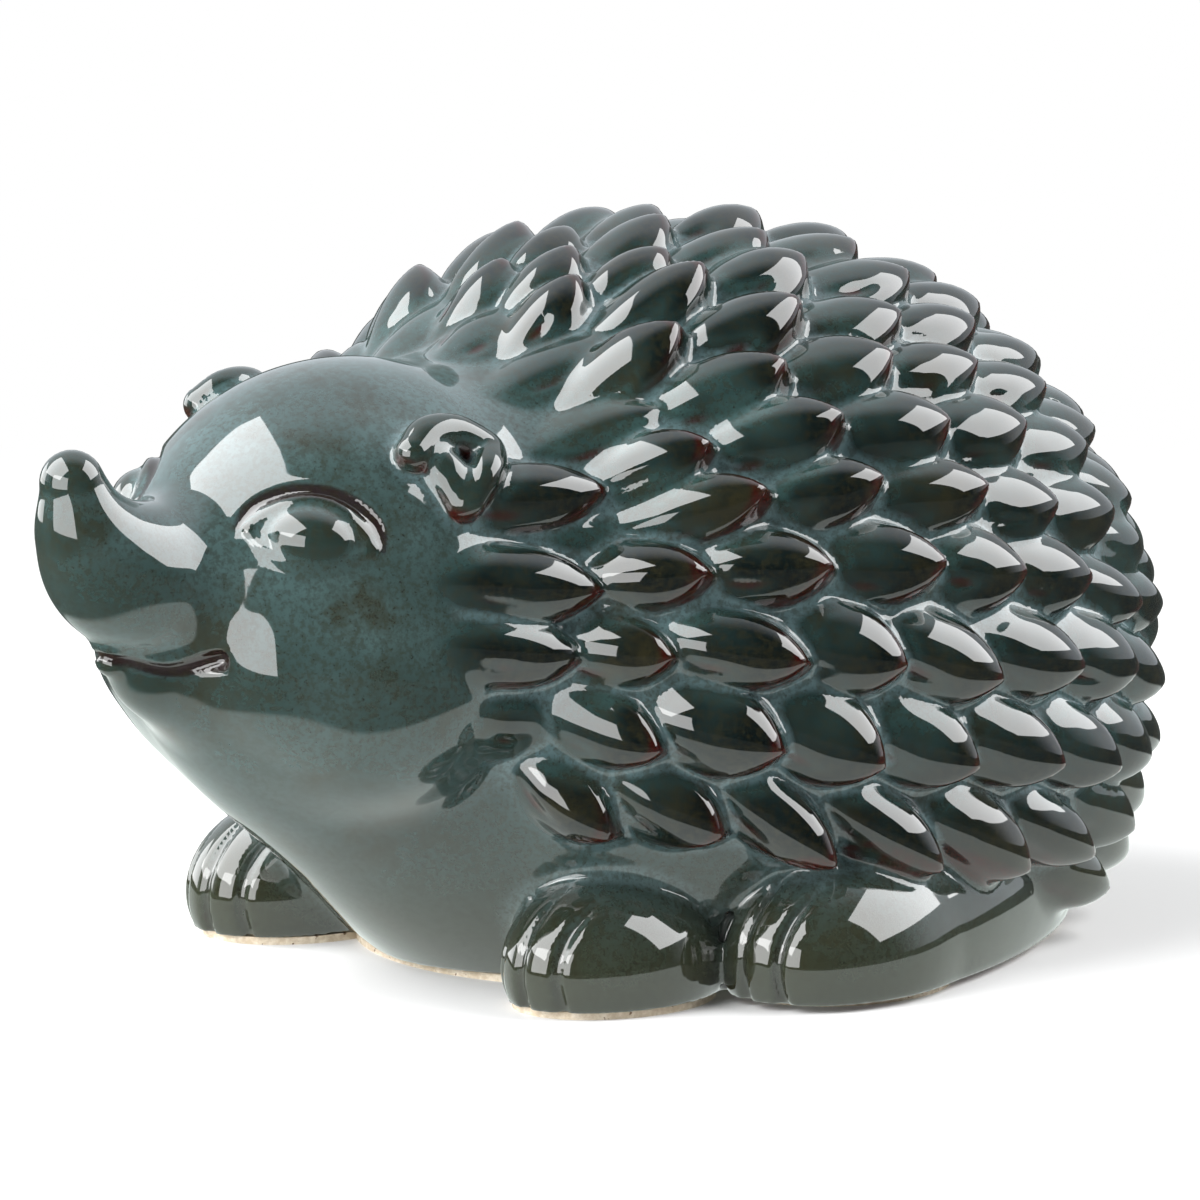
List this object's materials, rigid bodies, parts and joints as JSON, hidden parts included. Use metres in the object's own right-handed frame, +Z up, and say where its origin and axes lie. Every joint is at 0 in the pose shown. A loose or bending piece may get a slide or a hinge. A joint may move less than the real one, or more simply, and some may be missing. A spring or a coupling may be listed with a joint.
{
  "type": "hedgehog figurine",
  "caption": "Round glazed stoneware hedgehog with an upturned snout, curled ears, four short paws and rows of raised leaf-shaped spines that flow to its low tail end.",
  "frame": {"origin": "on the table, at the middle of the bare foot's flat underside, under the middle of the body", "axes": "+Z up, -Y the way the snout points, +X the hedgehog's left side"},
  "size_m": [0.1406, 0.2124, 0.1148],
  "materials": {
    "skin_glaze": "glossy grey-teal glaze with fine dark speckle",
    "spine_glaze": "glossy dark teal glaze that breaks red-brown in creases and pale on rims",
    "eye_glaze": "glossy dark teal glaze",
    "bare_clay": "unglazed cream stoneware"
  },
  "bodies": {
    "root": {"bare_foot": "bare_clay", "body_shell": "skin_glaze", "head": "skin_glaze", "left_ear": "skin_glaze", "left_eye": "eye_glaze", "left_forepaw": "skin_glaze", "left_haunch": "skin_glaze", "left_hindpaw": "skin_glaze", "left_lower_eyelid": "skin_glaze", "left_spine_row_1": "spine_glaze", "left_spine_row_10": "spine_glaze", "left_spine_row_11": "spine_glaze", "left_spine_row_2": "spine_glaze", "left_spine_row_3": "spine_glaze", "left_spine_row_4": "spine_glaze", "left_spine_row_5": "spine_glaze", "left_spine_row_6": "spine_glaze", "left_spine_row_7": "spine_glaze", "left_spine_row_8": "spine_glaze", "left_spine_row_9": "spine_glaze", "left_upper_eyelid": "skin_glaze", "lower_jaw": "skin_glaze", "right_ear": "skin_glaze", "right_eye": "eye_glaze", "right_forepaw": "skin_glaze", "right_haunch": "skin_glaze", "right_hindpaw": "skin_glaze", "right_lower_eyelid": "skin_glaze", "right_spine_row_1": "spine_glaze", "right_spine_row_10": "spine_glaze", "right_spine_row_11": "spine_glaze", "right_spine_row_2": "spine_glaze", "right_spine_row_3": "spine_glaze", "right_spine_row_4": "spine_glaze", "right_spine_row_5": "spine_glaze", "right_spine_row_6": "spine_glaze", "right_spine_row_7": "spine_glaze", "right_spine_row_8": "spine_glaze", "right_spine_row_9": "spine_glaze", "right_upper_eyelid": "skin_glaze", "snout": "skin_glaze", "spine_row_ridge": "spine_glaze"}
  },
  "joints": []
}
